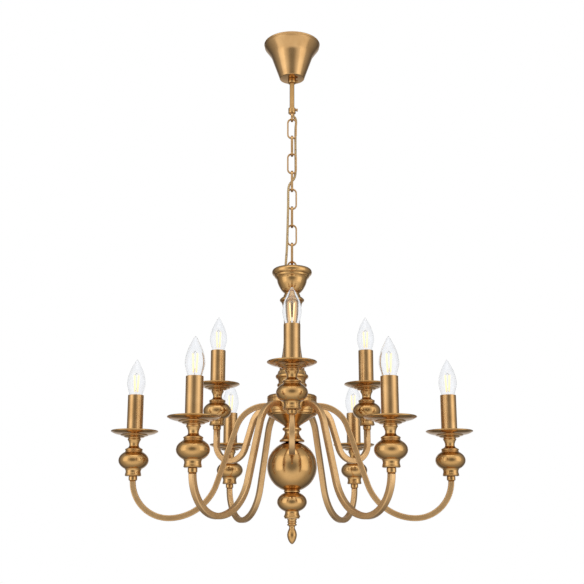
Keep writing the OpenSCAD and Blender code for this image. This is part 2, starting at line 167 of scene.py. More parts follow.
def steel(name):
    material, nodes, links = new_material(name)
    shader = nodes["Principled BSDF"]
    shader.inputs["Metallic"].default_value = 1.0
    tone = object_noise(nodes, links, 60, 4)
    links.new(ramp(nodes, links, tone, [(0.3, (0.42, 0.42, 0.40)), (0.7, (0.60, 0.60, 0.58))]),
              shader.inputs["Base Color"])
    spangle = nodes.new("ShaderNodeTexVoronoi")
    spangle.inputs["Scale"].default_value = 260
    place = nodes.new("ShaderNodeTexCoord")
    links.new(place.outputs["Object"], spangle.inputs["Vector"])
    links.new(ramp(nodes, links, spangle.outputs["Distance"], [(0.1, grey(0.28)), (0.8, grey(0.45))]),
              shader.inputs["Roughness"])
    return material


def plastic(name, dark, light, rough):
    material, nodes, links = new_material(name)
    shader = nodes["Principled BSDF"]
    tone = object_noise(nodes, links, 120, 4)
    links.new(ramp(nodes, links, tone, [(0.3, dark), (0.7, light)]), shader.inputs["Base Color"])
    shader.inputs["Roughness"].default_value = rough
    grain = object_noise(nodes, links, 1500, 2)
    links.new(bump(nodes, links, grain, 0.00005, 0.3), shader.inputs["Normal"])
    return material


def cable_sheath(name):
    """Clear gold sheath over twisted strands: the strands show as a slanting change of tone."""
    material, nodes, links = new_material(name)
    shader = nodes["Principled BSDF"]
    shader.inputs["Roughness"].default_value = 0.3
    shader.inputs["Coat Weight"].default_value = 0.5
    shader.inputs["Metallic"].default_value = 0.35
    place = nodes.new("ShaderNodeTexCoord")
    turn = nodes.new("ShaderNodeMapping")
    turn.inputs["Rotation"].default_value = (0.5, 0.5, 0)
    strands = nodes.new("ShaderNodeTexWave")
    strands.bands_direction = "Z"
    strands.inputs["Scale"].default_value = 90
    strands.inputs["Distortion"].default_value = 0.6
    links.new(place.outputs["Object"], turn.inputs["Vector"])
    links.new(turn.outputs["Vector"], strands.inputs["Vector"])
    tone = ramp(nodes, links, strands.outputs["Fac"],
                [(0.2, (0.40, 0.26, 0.10)), (0.8, (0.56, 0.39, 0.18))])
    links.new(tone, shader.inputs["Base Color"])
    links.new(bump(nodes, links, strands.outputs["Fac"], 0.0001, 0.3), shader.inputs["Normal"])
    return material


def clear_glass(name):
    material, nodes, links = new_material(name)
    shader = nodes["Principled BSDF"]
    shader.inputs["Transmission Weight"].default_value = 1.0
    shader.inputs["IOR"].default_value = 1.45
    shader.inputs["Roughness"].default_value = 0.0
    tone = object_noise(nodes, links, 15, 2)
    links.new(ramp(nodes, links, tone, [(0.3, (0.94, 0.95, 0.965)), (0.7, (0.96, 0.965, 0.975))]),
              shader.inputs["Base Color"])
    return material


def lit_filament(name):
    material, nodes, links = new_material(name)
    shader = nodes["Principled BSDF"]
    tone = object_noise(nodes, links, 900, 2)
    glow = ramp(nodes, links, tone, [(0.3, (1.0, 0.72, 0.34)), (0.7, (1.0, 0.80, 0.44))])
    links.new(glow, shader.inputs["Base Color"])
    links.new(glow, shader.inputs["Emission Color"])
    shader.inputs["Emission Strength"].default_value = 1.1
    shader.inputs["Roughness"].default_value = 0.5
    return material


DARK_TONE = (0.50, 0.29, 0.115)
LIGHT_TONE = (0.61, 0.375, 0.165)
# Painted shade: a deeper, darker copy of the brass tone, so the turned pieces render darker.
SHADED_TONES = ((0.46, 0.26, 0.09), (0.58, 0.345, 0.135))
# Painted light: a paler copy of the brass tone, so the arms render brighter.
LIT_TONES = ((0.62, 0.38, 0.17), (0.74, 0.475, 0.225))
# The turned pieces' brass takes the deeper tone, which is painted shade.
shaded_turned_brass = brass("shaded_turned_brass", *SHADED_TONES, 0.15, 0.20, turned_marks=0.15)
canopy_brass = brass("canopy_brass", DARK_TONE, LIGHT_TONE, 0.18, 0.23, brush=0.2)
# The arms' brass takes the paler tone, which is painted light.
lit_arm_brass = brass("lit_arm_brass", *LIT_TONES, 0.38, 0.45)
brushed_brass = brass("brushed_brass", DARK_TONE, LIGHT_TONE, 0.20, 0.26, brush=0.2)
chain_brass = brass("chain_brass", DARK_TONE, LIGHT_TONE, 0.24, 0.34)
zinc_steel = steel("zinc_steel")
holder_plastic = plastic("holder_plastic", (0.74, 0.70, 0.62), (0.80, 0.77, 0.70), 0.45)
gold_sheath = cable_sheath("gold_sheath")
bulb_glass = clear_glass("bulb_glass")
filament_glow = lit_filament("filament_glow")


# ---- Making pieces ----
def arc(r, z, size, start, stop, steps=8):
    """Outline points on a round stretch of radius size about (r, z), in degrees from level outwards."""
    return oval(r, z, size, size, start, stop, steps)


def oval(r, z, wide, high, start, stop, steps=14):
    angles = [math.radians(start + (stop - start) * i / steps) for i in range(steps + 1)]
    return [(r + wide * math.cos(a), z + high * math.sin(a)) for a in angles]


def curve_through(points, steps=4):
    """A smooth outline or route through a few points."""
    ends = [points[0]] + list(points) + [points[-1]]
    found = []
    for a, b, c, d in zip(ends, ends[1:], ends[2:], ends[3:]):
        for i in range(steps):
            t = i / steps
            found.append(tuple(
                0.5 * (2 * q + (r - p) * t + (2 * p - 5 * q + 4 * r - s) * t * t
                       + (3 * q - p - 3 * r + s) * t ** 3)
                for p, q, r, s in zip(a, b, c, d)))
    return found + [tuple(points[-1])]


def make_piece(name, bm, material, body, nodes=(), edge=0.0):
    """Turns a finished bmesh into a smooth piece that rides on a body, with its sharp edges softened."""
    for face in bm.faces:
        face.smooth = True
    mesh = bpy.data.meshes.new(name)
    bm.to_mesh(mesh)
    bm.free()
    mesh.materials.append(material)
    piece = bpy.data.objects.new(name, mesh)
    bpy.context.scene.collection.objects.link(piece)
    if edge:
        soften = piece.modifiers.new("soft_edges", "BEVEL")
        soften.width = edge
        soften.segments = 2
        soften.limit_method = "ANGLE"
        soften.angle_limit = math.radians(28)
        soften.harden_normals = True
    if body:
        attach(piece, body)
    if nodes:
        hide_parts(*nodes)
    return piece


def tidy_surface(bm):
    bmesh.ops.remove_doubles(bm, verts=bm.verts[:], dist=1e-6)
    bmesh.ops.recalc_face_normals(bm, faces=bm.faces[:])


def turned(name, outline, material, body, nodes=(), at=(0, 0, 0), ring=False, edge=0.00035, steps=80):
    """A turned piece: an outline, (radius, height) in millimetres, spun about the upright through at."""
    bm = bmesh.new()
    points = [bm.verts.new((r * MM, 0, z * MM)) for r, z in outline]
    for a, b in zip(points, points[1:]):
        bm.edges.new((a, b))
    if ring:
        bm.edges.new((points[-1], points[0]))
    bmesh.ops.spin(bm, geom=bm.verts[:] + bm.edges[:], cent=(0, 0, 0), axis=(0, 0, 1),
                   angle=math.tau, steps=steps, use_merge=True, use_duplicate=False)
    tidy_surface(bm)
    bmesh.ops.translate(bm, verts=bm.verts[:], vec=at)
    return make_piece(name, bm, material, body, nodes, edge)


def rounded_section(bm, wide, high, corner, segments=4):
    """A filled bar section in the XZ plane about the origin, as a ring of edges. Wide is along X."""
    made = bmesh.ops.create_grid(bm, x_segments=1, y_segments=1, size=0.5)
    bmesh.ops.scale(bm, verts=made["verts"], vec=(wide, high, 1))
    bmesh.ops.rotate(bm, verts=made["verts"], cent=(0, 0, 0), matrix=Matrix.Rotation(math.pi / 2, 3, "X"))
    bmesh.ops.bevel(bm, geom=made["verts"], offset=corner, offset_type="OFFSET", segments=segments,
                    profile=0.5, affect="VERTICES", material=-1)
    bmesh.ops.delete(bm, geom=bm.faces[:], context="FACES_ONLY")
    return bm.edges[:]


def ring_parts(edges):
    return list({v for e in edges for v in e.verts}) + list(edges)


def bend_on(bm, edges, centre, angle, steps, axis=(1, 0, 0)):
    """Carries a ring of edges round a bend and returns the ring at its end."""
    made = bmesh.ops.spin(bm, geom=ring_parts(edges), cent=centre, axis=axis, angle=math.radians(angle),
                          steps=steps, use_duplicate=False)
    return [g for g in made["geom_last"] if isinstance(g, bmesh.types.BMEdge)]


def run_on(bm, edges, vec):
    """Carries a ring of edges straight on and returns the ring at its end."""
    made = bmesh.ops.extrude_edge_only(bm, edges=edges)
    verts = [g for g in made["geom"] if isinstance(g, bmesh.types.BMVert)]
    bmesh.ops.translate(bm, verts=verts, vec=vec)
    return [g for g in made["geom"] if isinstance(g, bmesh.types.BMEdge) and g.is_boundary]


# ---- Where things are, from the frame ----
lights = [Vector(joints[f"bulb_{i}_unscrew"]["pos_m"]) for i in range(1, LIGHTS + 1)]
pan_lip = 1.4 * MM
lower_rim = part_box("lower_drip_pans")[1].z - pan_lip
upper_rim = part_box("upper_drip_pans")[1].z - pan_lip
canopy_low, canopy_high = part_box("canopy")
canopy_r = canopy_high.x / MM
canopy_floor = canopy_low.z / MM
rod_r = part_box("hanging_rod")[1].x / MM
hub_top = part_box("hub")[1].z / MM
hub_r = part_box("hub")[1].x / MM
ball_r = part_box("large_ball")[1].x / MM
ball_z = (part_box("large_ball")[0].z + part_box("large_ball")[1].z) / 2 / MM
wire_t = 3.2 * MM
wire_w = 5 * MM
wire_corner = 1.4 * MM
loop_r = 8.1 * MM
chain_joints = [joints[f"link_{i}_swing"]["pos_m"][2] for i in range(1, 9)]
chain_joints.append(joints["fixture_swing"]["pos_m"][2])


# ---- Ceiling fixing ----
def skirt(inset):
    """The canopy's side: a taper whose mouth flares out to the ceiling."""
    steps, top, height, taper = 24, -9, 68, 24
    flare, flare_part = 7, 0.3
    found = []
    for i in range(steps + 1):
        t = i / steps
        out = flare * max(0, 1 - t / flare_part) ** 1.1
        found.append((canopy_r - 8.5 - taper * t + out - inset, top - height * t))
    return found


def add_canopy():
    outside = arc(canopy_r - 2, -2, 2, 100, -60, 10) + arc(canopy_r - 3, -6.2, 1.4, 50, -30, 3) + skirt(0)
    floor = arc(24.6, canopy_floor + 1.8, 1.8, 0, -90, 5) + [(rod_r + 0.3, canopy_floor)]
    wall = 1.2
    inside = [(rod_r + 0.3, canopy_floor + wall), (24, canopy_floor + wall)] + skirt(wall)[::-1]
    inside += [(canopy_r - 5, -5), (canopy_r - 5, -1)]
    turned("canopy_shell", outside + floor + inside, canopy_brass, "canopy", ["canopy"],
           ring=True, steps=128)
    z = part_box("canopy_collar")[1].z / MM
    turned("canopy_neck", [(rod_r + 0.1, z), (7.4, z)] + arc(7.6, z - 1.2, 0.9, 80, 0, 4)
           + arc(7.4, z - 9.4, 1.1, 0, -80, 4) + [(rod_r + 0.1, z - 11)],
           shaded_turned_brass, "canopy", ["canopy_collar"], ring=True)


def add_side_screw(name, z, body, node):
    """A screw with a knurled thumb head, lying along X."""
    head_r, head_l, shank_r = 3.2 * MM, 3.4 * MM, 2 * MM
    grips, groove = 20, 0.92
    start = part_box(node)[0].x
    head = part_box(node)[1].x - head_l
    bm = bmesh.new()
    made = bmesh.ops.create_cone(bm, segments=grips * 2, cap_ends=True, cap_tris=False,
                                 radius1=head_r, radius2=head_r, depth=head_l)
    for v in made["verts"]:
        step = round(math.atan2(v.co.y, v.co.x) / (math.tau / (grips * 2)))
        if step % 2:
            v.co.xy *= groove
    bmesh.ops.translate(bm, verts=bm.verts[:], vec=(0, 0, head_l / 2 + head))
    shank = bmesh.ops.create_cone(bm, segments=24, cap_ends=True, cap_tris=False,
                                  radius1=shank_r, radius2=shank_r, depth=head - start)
    bmesh.ops.translate(bm, verts=shank["verts"], vec=(0, 0, (head + start) / 2))
    bmesh.ops.rotate(bm, verts=bm.verts[:], cent=(0, 0, 0), matrix=Matrix.Rotation(math.pi / 2, 3, "Y"))
    bmesh.ops.translate(bm, verts=bm.verts[:], vec=(0, 0, z))
    make_piece(name, bm, shaded_turned_brass, body, [node], 0.00025)


def wire_loop(bm, z, axis):
    """A ring of flat wire about a point on the chandelier's axis, its opening facing along axis."""
    rounded_section(bm, wire_t, wire_w, wire_corner)
    ring = bm.verts[:]
    bmesh.ops.rotate(bm, verts=ring, cent=(0, 0, 0), matrix=Matrix.Rotation(math.pi / 2, 3, "X"))
    bmesh.ops.translate(bm, verts=ring, vec=(loop_r, 0, 0))
    bmesh.ops.spin(bm, geom=bm.verts[:] + bm.edges[:], cent=(0, 0, 0), axis=(0, 1, 0), angle=math.tau,
                   steps=64, use_merge=True, use_duplicate=False)
    if axis == "X":
        bmesh.ops.rotate(bm, verts=bm.verts[:], cent=(0, 0, 0), matrix=Matrix.Rotation(math.pi / 2, 3, "Z"))
    bmesh.ops.translate(bm, verts=bm.verts[:], vec=(0, 0, z))
    tidy_surface(bm)


def add_rod():
    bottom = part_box("hanging_rod")[0].z / MM
    turned("hanging_tube", [(rod_r, 0), (rod_r, bottom), (3.5, bottom), (3.5, 0)], shaded_turned_brass, "ceiling",
           ["hanging_rod"], ring=True)
    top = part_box("rod_collar")[1].z / MM
    turned("rod_collar_ring", [(rod_r + 0.05, top)] + arc(6.8, top - 1, 1, 90, 0, 4)
           + [(7.8, top - 5.2), (7.3, top - 5.8), (7.3, top - 6.6), (7.8, top - 7.2)]
           + arc(6.8, top - 11, 1, 0, -90, 4)
           + [(3.6, top - 12), (3.6, top - 10), (rod_r + 0.05, top - 7.6)],
           shaded_turned_brass, "ceiling", ["rod_collar"], ring=True)
    bm = bmesh.new()
    loop_z = chain_joints[0] + loop_r
    wire_loop(bm, loop_z, "X")
    make_piece("rod_loop_ring", bm, chain_brass, "ceiling", ["rod_loop"])
    z = loop_z / MM + 7.4
    turned("rod_loop_neck", [(3.7, top - 12), (5.2, top - 12), (5.6, z + 0.8), (5.2, z), (3.9, z)],
           chain_brass, "ceiling", ["rod_loop"], ring=True, edge=0.0002)


# ---- Chain ----
def add_link(i):
    """An oval link bent from flat wire; its lower wire is the hinge of the next link."""
    node = f"chain_link_{i}"
    low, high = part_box(node)
    bend_r = (max(high.x - low.x, high.y - low.y) - wire_t) / 2
    straight = high.z - low.z - wire_t - 2 * bend_r
    centre_z = low.z + wire_t / 2 + bend_r
    bm = bmesh.new()
    rounded_section(bm, wire_t, wire_w, wire_corner)
    bmesh.ops.rotate(bm, verts=bm.verts[:], cent=(0, 0, 0), matrix=Matrix.Rotation(math.pi / 2, 3, "X"))
    bmesh.ops.translate(bm, verts=bm.verts[:], vec=(bend_r, 0, 0))
    ring = bend_on(bm, bm.edges[:], (0, 0, 0), 180, 24, (0, 1, 0))
    ring = run_on(bm, ring, (0, 0, straight))
    ring = bend_on(bm, ring, (0, 0, straight), 180, 24, (0, 1, 0))
    run_on(bm, ring, (0, 0, -straight))
    if i % 2 == 0:
        bmesh.ops.rotate(bm, verts=bm.verts[:], cent=(0, 0, 0), matrix=Matrix.Rotation(math.pi / 2, 3, "Z"))
    bmesh.ops.translate(bm, verts=bm.verts[:], vec=(0, 0, centre_z))
    tidy_surface(bm)
    make_piece(f"link_{i}", bm, chain_brass, f"link_{i}", [node])


# ---- Supply cable ----
cable_r = 2.5 * MM
cable_route = [
    (0, 0, -10), (0, 0, -60), (0, 0, -120), (0, 0, -152), (0.2, 0.1, -159), (3, 1, -164.8),
    (7.4, 4.8, -169.8), (8.6, 7.6, -178), (7.6, 7.8, -190), (7.2, 7.4, -215), (7.4, 7.6, -245),
    (7.6, 7.6, -270), (7.4, 7.2, -289), (5.2, 5, -302), (0, 0, -311.5), (-5.2, -5, -321),
    (-7.6, -7.2, -334), (-7.8, -7.6, -360), (-8.4, -7.8, -390), (-9.2, -8, -425), (-10.4, -8, -460),
    (-12.2, -7, -486), (-13, -5, -502), (-12, -2.5, -515), (-9.4, -0.6, -530), (-7.8, 0, -546),
    (-7.8, 0, -600), (-7.8, 0, -680), (-7.8, 0, -736), (-8.2, 0, -750), (-10.6, 0, -760), (-11, 0, -769)]


def cable_piece(name, points, body, joint=None):
    """A stretch of the cable; one that crosses a chain joint rides on no body, with its place baked into its
    mesh.
    """
    line = bpy.data.curves.new(name, "CURVE")
    line.dimensions = "3D"
    line.bevel_depth = cable_r
    line.bevel_resolution = 4
    line.use_fill_caps = True
    spline = line.splines.new("POLY")
    spline.points.add(len(points) - 1)
    for point, place in zip(spline.points, points):
        point.co = (*place, 1)
    holder = bpy.data.objects.new(name + "_line", line)
    bpy.context.scene.collection.objects.link(holder)
    bpy.context.view_layer.update()
    mesh = bpy.data.meshes.new_from_object(holder)
    bpy.data.objects.remove(holder)
    bm = bmesh.new()
    bm.from_mesh(mesh)
    tidy_surface(bm)
    piece = make_piece(name, bm, gold_sheath, body, ["supply_cable"])
    if joint:
        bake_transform(piece)
    return piece


def add_cable():
    """The cable is one route, cut half way down each link, so that each stretch has one chain joint."""
    route = [Vector(p) * MM for p in curve_through(cable_route, 6)]
    bodies = ["ceiling"] + [f"link_{i}" for i in range(1, 9)] + ["fixture"]
    rod_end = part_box("hanging_rod")[0].z
    cup_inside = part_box("top_cup")[0].z + 0.02
    cuts = [rod_end] + [(a + b) / 2 for a, b in zip(chain_joints, chain_joints[1:])] + [cup_inside]
    stretches = [[] for _ in range(len(cuts) + 1)]
    for point in route:
        stretches[sum(point.z < cut for cut in cuts)].append(point)
    for above, below in zip(stretches, stretches[1:]):
        above.append(below[0].copy())
    cable_piece("cable_in_rod", stretches[0], "ceiling")
    for i, z in enumerate(chain_joints):
        cable_piece(f"cable_{i + 1}", stretches[i + 1], None, (bodies[i], bodies[i + 1], z))
    cable_piece("cable_in_column", stretches[-1], "fixture")


# ---- Column ----
def column_piece(name, outline, node, bore=5.3):
    """A turned piece of the column, threaded on the tie rod through its bore."""
    top, bottom = outline[0][1], outline[-1][1]
    closed = [(bore, top)] + outline + [(bore, bottom)]
    turned(name, closed, shaded_turned_brass, "fixture", [node], ring=True, steps=112)


def add_cup():
    rim_z = -500
    outer = arc(32.6, rim_z - 7.8, 7.8, 100, 40, 8) + arc(32.9, rim_z - 7.6, 7.5, 32, -66, 14)
    body = [(34.9, -517.6), (33.6, -518.6), (32.4, -520)] + curve_through(
        [(30.2, -523.4), (29.4, -528), (27.7, -533), (24.8, -539), (21.1, -545), (17, -549.2)], 4)
    foot = arc(15.9, -551.6, 1.1, 120, 240, 4)
    foot += curve_through([(15.6, -553), (16.9, -556), (18.1, -560.6)], 4)
    floor = [(11, -560.6), (11, -520), (24, -516), (26.5, -511.5)]
    dish = [(27.2, -508.5), (28.4, -504.4)]
    turned("cup", outer + body + foot + floor + dish, shaded_turned_brass, "fixture", ["top_cup"],
           ring=True, steps=128)
    turned("cup_plate", [(rod_r + 0.2, -511.2), (26.4, -511.2), (26.6, -512.4), (rod_r + 0.2, -512.4)],
           shaded_turned_brass, "fixture", ["top_cup"], ring=True)
    bm = bmesh.new()
    hang = 4 * MM
    loop_z = chain_joints[-1] + hang - loop_r
    wire_loop(bm, loop_z, "Y")
    make_piece("cup_ring", bm, chain_brass, "fixture", ["cup_loop"])
    foot_top = loop_z / MM - 7.6
    turned("cup_ring_foot", [(0, foot_top)] + arc(5.4, foot_top - 1.2, 1.2, 90, 0, 4)
           + curve_through([(6.4, foot_top - 3), (6.2, foot_top - 6), (7.5, -510.4)], 4)
           + [(7.5, -512), (0, -512)],
           shaded_turned_brass, "fixture", ["cup_loop"])


def add_column():
    flange = [(18, -560.7), (21.4, -560.9)] + arc(21.4, -565.6, 3.2, 72, -62, 12) + [(21.8, -569.6)]
    post = curve_through([(20.8, -570.6), (19.4, -575), (17.8, -587), (16.4, -606), (15.9, -626),
                          (16.6, -648), (18.4, -668), (20.8, -684), (23.4, -696), (24.9, -703.5)], 5)
    column_piece("post", flange + post + [(25, -709)], "column", bore=11)
    collar = [(26, -709), (27.4, -710.4), (28.2, -713.4)] + arc(28.4, -720.8, 4.2, 72, -72, 12)
    collar += curve_through([(28.7, -726.2), (27.4, -728.4), (26.9, -731), (26.9, -733.6)], 3)
    collar += arc(25.7, -738, 3.9, 68, -66, 10) + [(26.8, -742)]
    column_piece("collar", collar, "column_collar", bore=11)
    cover = [(27.2, -742), (27.4, -743.2)] + curve_through(
        [(27.6, -744), (28.0, -750), (29.4, -754), (33, -756.4), (39, -757.7), (44.6, -758.6)], 4)
    column_piece("cover", cover + arc(45.6, -759.4, 1.2, 50, -30, 4), "hub_cover", bore=11)
    top, foot = hub_top, hub_top - 36
    hub = [(45.6, top)] + arc(hub_r - 1.5, top - 1.5, 1.5, 90, 0, 5)
    hub += [(hub_r, top - 5), (hub_r - 0.7, top - 5.4), (hub_r - 0.7, top - 6), (hub_r, top - 6.4)]
    hub += [(hub_r, foot + 6.4), (hub_r - 0.7, foot + 6), (hub_r - 0.7, foot + 5.4), (hub_r, foot + 5)]
    hub += arc(hub_r - 1.5, foot + 1.5, 1.5, 0, -90, 5)
    inside = [(5.3, foot), (5.3, foot + 3), (46, foot + 3), (46, top - 3), (11, top - 3)]
    turned("hub_drum", [(11, top - 1), (45.6, top - 1)] + hub + inside, shaded_turned_brass, "fixture",
           ["hub"], ring=True, steps=128)
    cone = [(46.4, foot - 0.2)] + arc(45.4, foot - 1.4, 1.1, 40, -60, 4)
    cone += curve_through([(44, -799.4), (34, -805.6), (24, -812), (17.4, -816.4), (14.6, -818.8)], 4)
    column_piece("hub_underside_cone", cone, "hub_underside")


def add_pendant():
    neck = [(14.4, -819), (15.4, -820.8)] + arc(15.6, -824.2, 3.1, 72, -72, 12)
    neck += curve_through([(15.2, -828), (14.2, -830.6), (14.4, -833), (16, -836.4), (18, -840),
                           (21, -843.6)], 4)
    neck += [(22.4, -844.4), (23.8, -845.4)] + arc(22.8, -847.3, 1.7, 50, -60, 6) + [(22.6, -849.4)]
    column_piece("neck", neck, "lower_neck")
    turned("ball", oval(0, ball_z, ball_r, ball_r, 84, -84, 64), shaded_turned_brass, "fixture",
           ["large_ball"], steps=128, edge=0)
    ring_z = -943.6
    column_piece("ring", [(12.6, ring_z + 3)] + arc(13.4, ring_z, 2.4, 82, -82, 12) + [(12.6, ring_z - 2.9)],
                 "ball_ring")
    low_ball = [(13.6, -946.5)] + oval(0, -963.4, 28.6, 20, 58, -61, 40)
    low_ball += curve_through([(13.5, -981.4), (13.3, -983), (13.9, -986), (15.2, -989)], 3)
    low_ball += arc(14.6, -990.8, 1.2, 40, -70, 5) + [(14.4, -993), (14, -994.6)]
    column_piece("low_ball", low_ball, "small_ball")


def add_finial():
    rings = [(9.3, -995), (9.2, -996.4), (8.3, -998.2)] + arc(7.4, -1001, 1.7, 70, -70, 8)
    rings += [(7.5, -1003.6)] + arc(7.5, -1006, 1.8, 66, -74, 8) + [(6.2, -1008.6)]
    drop = curve_through([(5.7, -1010), (5.5, -1012), (6.4, -1014.4), (8, -1018), (9.1, -1022.4),
                          (9.3, -1026), (8.6, -1030), (7.3, -1034), (5.4, -1037.6), (3, -1040.4),
                          (1.2, -1041.7)], 5)
    turned("finial_drop", [(0, -995)] + rings + drop + [(0, -1042)], shaded_turned_brass, "finial",
           ["finial"], steps=72, edge=0.0002)


# ---- Arms ----
tube_w = 11 * MM
tube_corner = 1.9 * MM
arm_slope = 71
arm_end = 94 * MM
lower_bends = (0, 60 * MM, 95 * MM, 70 * MM)
upper_bends = (29 * MM, 42 * MM, 36 * MM, 35 * MM)
arm_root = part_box("hub")[1].x - 0.5 * MM
arm_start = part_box("hub")[1].x + 2.2 * MM
arm_z = (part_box("arm_nuts")[0].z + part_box("arm_nuts")[1].z) / 2


def add_arm(i):
    """Leaves the hub level, turns down, runs straight and swings up through two bends to its light.

    The bends are the straight drop from the light, then the shoulder's, inner and outer radius."""
    light = lights[i - 1]
    reach = math.hypot(light.x, light.y)
    lower = i <= LOWER_LIGHTS
    end_z = (lower_rim if lower else upper_rim) - arm_end
    drop, shoulder_r, inner_r, outer_r = lower_bends if lower else upper_bends
    lean = math.radians(arm_slope)
    bottom_y = reach - outer_r
    bend_z = end_z - drop
    bottom_z = bend_z - outer_r
    knee = Vector((0, -bottom_y + inner_r * math.sin(lean), bottom_z + inner_r * (1 - math.cos(lean))))
    shoulder = Vector((0, -arm_start - shoulder_r * math.sin(lean),
                       arm_z - shoulder_r * (1 - math.cos(lean))))
    bm = bmesh.new()
    rounded_section(bm, tube_w, tube_w, tube_corner, 5)
    bmesh.ops.translate(bm, verts=bm.verts[:], vec=(0, -arm_root, arm_z))
    first = bm.edges[:]
    ring = run_on(bm, first, (0, arm_root - arm_start, 0))
    ring = bend_on(bm, ring, (0, -arm_start, arm_z - shoulder_r), arm_slope, 26)
    ring = run_on(bm, ring, knee - shoulder)
    ring = bend_on(bm, ring, (0, -bottom_y, bottom_z + inner_r), -arm_slope, 30)
    ring = bend_on(bm, ring, (0, -bottom_y, bend_z), -90, 34)
    if drop:
        ring = run_on(bm, ring, (0, 0, drop))
    bmesh.ops.edgeloop_fill(bm, edges=first)
    bmesh.ops.edgeloop_fill(bm, edges=ring)
    turn = math.atan2(light.x, -light.y)
    bmesh.ops.rotate(bm, verts=bm.verts[:], cent=(0, 0, 0), matrix=Matrix.Rotation(turn, 3, "Z"))
    tidy_surface(bm)
    tube = make_piece(f"arm_tube_{i}", bm, lit_arm_brass, "fixture", [f"arm_{i}"])
    tube.modifiers.new("flat_sides", "WEIGHTED_NORMAL")


# ---- Lights: outlines are in millimetres from the rim of the drip pan ----
end_outline = [(4, -85.6), (7.2, -85.6)] + arc(7.2, -86.8, 1, 80, 0, 4) + arc(7.2, -92.6, 1, 0, -80, 4)
end_outline += [(6, -94.4), (4, -94.4)]
stem_outline = [(4, -12.4), (12.2, -12.4), (11.8, -13.4)] + arc(10.7, -15.9, 2.1, 62, -62, 10)
stem_outline += curve_through([(11, -19.2), (9.8, -22.4), (9.1, -26), (9.8, -29.2), (11.6, -31.4)], 4)
stem_outline += [(13.4, -32.2), (14.4, -33)] + arc(15, -35.4, 2, 74, -70, 9) + [(16.4, -38)]
stem_outline += oval(0, -55.6, 28.8, 19.6, 54, -56, 36)
stem_outline += curve_through([(15.8, -72.6), (14.7, -74.6), (14.4, -77.4), (14.8, -80)], 3)
stem_outline += [(15.3, -81.4)] + arc(14.6, -83.6, 1.2, 60, -60, 6) + [(14.2, -85.6), (4, -85.6)]
pan_outline = [(4, -6.2), (22, -6.2)] + curve_through([(23, -6.1), (30, -4.9), (37, -2.4), (42.6, -0.1)], 4)
pan_outline += arc(44.2, -0.1, 1.3, 130, -70, 10)
pan_outline += curve_through([(42.6, -2.4), (39, -4.2), (33, -5.9), (28.2, -6.7)], 4)
pan_outline += [(27, -7), (26.4, -7.6), (26, -8.4)]
pan_outline += curve_through([(25, -8.8), (21.6, -9.5), (19.6, -10.6)], 3)
pan_outline += [(19, -11.4), (16.4, -12.4), (4, -12.4)]
sleeve_outline = [(15.4, -6.2), (15.4, 69.2)] + arc(14.9, 69.5, 0.5, 0, 180, 6) + [(14.4, -6.2)]
holder_outline = [(4, -6), (9, -6), (9, 22), (11.4, 24), (12.4, 26), (12.4, 50)]
holder_outline += arc(11.4, 51, 1, 0, 90, 4) + [(8.4, 52), (7.4, 51), (7.4, 30), (4, 30)]


def glass_line(inset):
    """Half outline of a candle bulb's glass, from its neck to its tip."""
    return curve_through([(8.4 - inset, 55.5), (9.2 - inset, 60), (11.4 - inset, 68), (14.6 - inset, 78),
                          (17 - inset, 87.6), (17.6 - inset, 95), (16.4 - inset, 105), (13.2 - inset, 116),
                          (8.8 - inset, 126), (4.8 - inset * 0.7, 133.6),
                          (2.2 - inset * 0.6, 138 - inset)], 5)


def outward_directions():
    """The four ways round the bulb's axis in which its filaments stand."""
    angles = [math.radians(45 + 90 * side) for side in range(4)]
    return [Vector((math.cos(a), math.sin(a), 0)) for a in angles]


def add_filaments(i, at):
    """Four upright rods of light, each leaning out a little towards its top."""
    size, length, ring_r, height, lean = 1.1 * MM, 32 * MM, 4.6 * MM, Vector((0, 0, 93 * MM)), math.radians(4)
    bm = bmesh.new()
    for outward in outward_directions():
        made = bmesh.ops.create_cone(bm, segments=12, cap_ends=True, radius1=size, radius2=size, depth=length)
        tilt = Matrix.Rotation(lean, 3, Vector((-outward.y, outward.x, 0)))
        bmesh.ops.rotate(bm, verts=made["verts"], cent=(0, 0, 0), matrix=tilt)
        bmesh.ops.translate(bm, verts=made["verts"], vec=outward * ring_r + height)
    bmesh.ops.translate(bm, verts=bm.verts[:], vec=at)
    make_piece(f"bulb_filaments_{i}", bm, filament_glow, f"bulb_{i}")


def add_wires(i, at):
    """Fine wires from the glass stem to the filaments' feet, and between their tops."""
    size = 0.25 * MM
    bm = bmesh.new()
    for outward in outward_directions():
        low_wire = (outward * 1.2 + Vector((0, 0, 80)), outward * 3.5 + Vector((0, 0, 77)))
        high_wire = (Vector((0, 0, 114)), outward * 5.7 + Vector((0, 0, 109)))
        for start, end in (low_wire, high_wire):
            run = (end - start) * MM
            made = bmesh.ops.create_cone(bm, segments=6, cap_ends=True, radius1=size, radius2=size,
                                         depth=run.length)
            turn = Vector((0, 0, 1)).rotation_difference(run).to_matrix()
            bmesh.ops.rotate(bm, verts=made["verts"], cent=(0, 0, 0), matrix=turn)
            bmesh.ops.translate(bm, verts=made["verts"], vec=(start + end) / 2 * MM)
    bmesh.ops.translate(bm, verts=bm.verts[:], vec=at)
    make_piece(f"bulb_wires_{i}", bm, zinc_steel, f"bulb_{i}")


